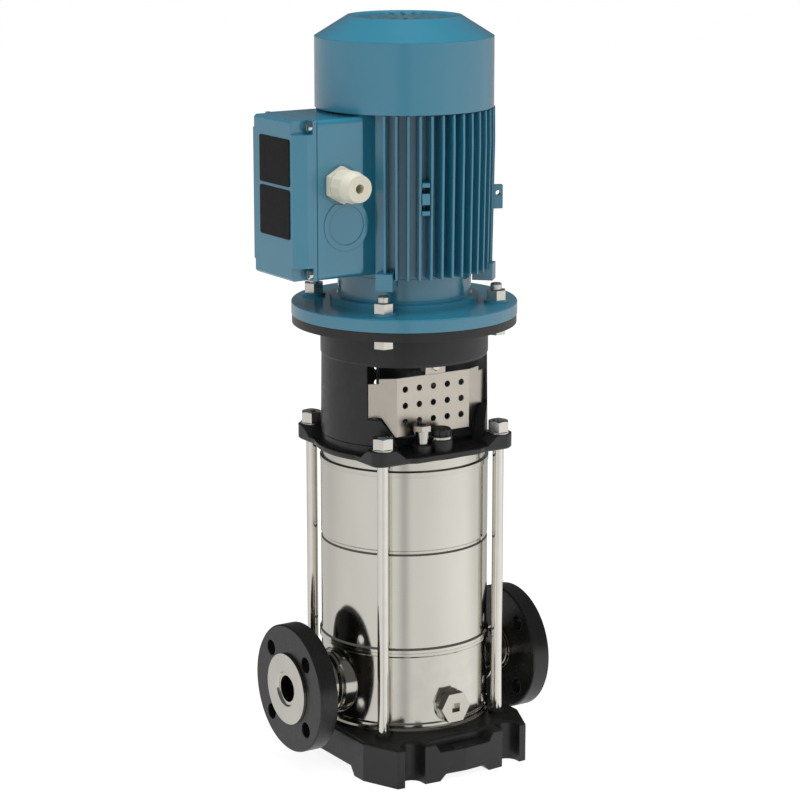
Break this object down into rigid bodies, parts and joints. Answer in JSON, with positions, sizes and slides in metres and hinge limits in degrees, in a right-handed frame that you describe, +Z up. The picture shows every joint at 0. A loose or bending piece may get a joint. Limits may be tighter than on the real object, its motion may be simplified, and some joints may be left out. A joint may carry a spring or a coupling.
{
  "type": "vertical multistage pump",
  "caption": "Vertical in-line multistage pump: cast base, tie-rod stainless casing, loose port flanges, lantern with guards, clamp coupling and finned flange motor with terminal box.",
  "frame": {"origin": "on the shaft axis at floor level, in the middle of the four foundation bolt slots", "axes": "+Z up along the shaft, +X towards the discharge port, -Y towards the drain plug and the vent plug"},
  "size_m": [0.2584, 0.205, 0.6648],
  "materials": {
    "cast_black": "black semi-gloss paint",
    "flange_black": "black paint",
    "stainless": "polished stainless sheet",
    "stainless_cast": "satin stainless casting",
    "rod_steel": "bright drawn rod",
    "fastener": "bright zinc plating",
    "guard_sheet": "matt rolled sheet",
    "vent_black": "black moulding",
    "plug_black": "black finish",
    "plug_steel": "turned stainless",
    "motor_blue": "gloss blue paint",
    "plate_black": "bare black plate",
    "gland_cream": "cream moulding",
    "gasket_rubber": "black rubber",
    "fan_plastic": "black moulding",
    "board_plastic": "brown moulding",
    "stud_brass": "bright brass",
    "shaft_steel": "ground shaft",
    "core_steel": "laminated steel",
    "winding_copper": "enamelled copper",
    "bearing_steel": "ground bearing steel",
    "seal_carbon": "carbon and ceramic",
    "bush_grey": "filled bearing plastic",
    "coupling_steel": "machined cast iron"
  },
  "bodies": {
    "housing": {"base": "cast_black", "bearing_outer_rings": "bearing_steel", "casing_seals": "gasket_rubber", "drain_plug": "plug_steel", "drain_washer": "fastener", "fan_cover": "motor_blue", "fan_end_shield": "motor_blue", "flange_bolts": "fastener", "flange_nuts": "fastener", "front_guard": "guard_sheet", "gland_body": "gland_cream", "gland_nut": "gland_cream", "guard_screws": "fastener", "inlet_chamber": "stainless", "lantern": "cast_black", "lid_gasket": "gasket_rubber", "lid_screws": "fastener", "lower_bearing": "bush_grey", "motor_flange": "motor_blue", "motor_frame": "motor_blue", "outer_sleeve": "stainless", "priming_plug": "plug_steel", "pump_casing": "stainless_cast", "rating_plates": "plate_black", "rear_guard": "guard_sheet", "rod_nuts": "fastener", "rod_washers": "fastener", "seal_cover": "stainless_cast", "seal_plate": "plug_black", "seal_seat": "seal_carbon", "stage_casings": "stainless", "stator_core": "core_steel", "stator_windings": "winding_copper", "terminal_board": "board_plastic", "terminal_box": "motor_blue", "terminal_lid": "motor_blue", "terminal_studs": "stud_brass", "tie_rods": "rod_steel", "vent_plug": "vent_black", "vent_ring": "plug_steel"},
    "rotor": {"pump_shaft": "shaft_steel", "impellers": "stainless", "spacer_sleeves": "shaft_steel", "lock_nut": "shaft_steel", "seal_ring": "seal_carbon", "seal_bellows": "gasket_rubber", "coupling_front_half": "coupling_steel", "coupling_rear_half": "coupling_steel", "coupling_screws": "fastener", "motor_shaft": "shaft_steel", "rotor_core": "core_steel", "bearing_inner_rings": "bearing_steel", "fan": "fan_plastic"},
    "ball_sets": {"bearing_balls": "bearing_steel", "bearing_cages": "stud_brass"},
    "suction_loose_flange": {"suction_flange": "flange_black"},
    "discharge_loose_flange": {"discharge_flange": "flange_black"}
  },
  "joints": [
    {"name": "shaft_spin", "type": "hinge", "parent": "housing", "child": "rotor", "pos_m": [0, 0, 0.361], "axis": [0, 0, 1], "continuous": true},
    {"name": "ball_orbit", "type": "hinge", "parent": "housing", "child": "ball_sets", "pos_m": [0, 0, 0.49845], "axis": [0, 0, 1], "continuous": true},
    {"name": "suction_flange_turn", "type": "hinge", "parent": "housing", "child": "suction_loose_flange", "pos_m": [-0.11315, 0, 0.075], "axis": [1, 0, 0], "continuous": true},
    {"name": "discharge_flange_turn", "type": "hinge", "parent": "housing", "child": "discharge_loose_flange", "pos_m": [0.11315, 0, 0.075], "axis": [1, 0, 0], "continuous": true}
  ],
  "couplings": [
    {"joint": "ball_orbit", "follows": "shaft_spin", "ratio": 0.38149}
  ]
}
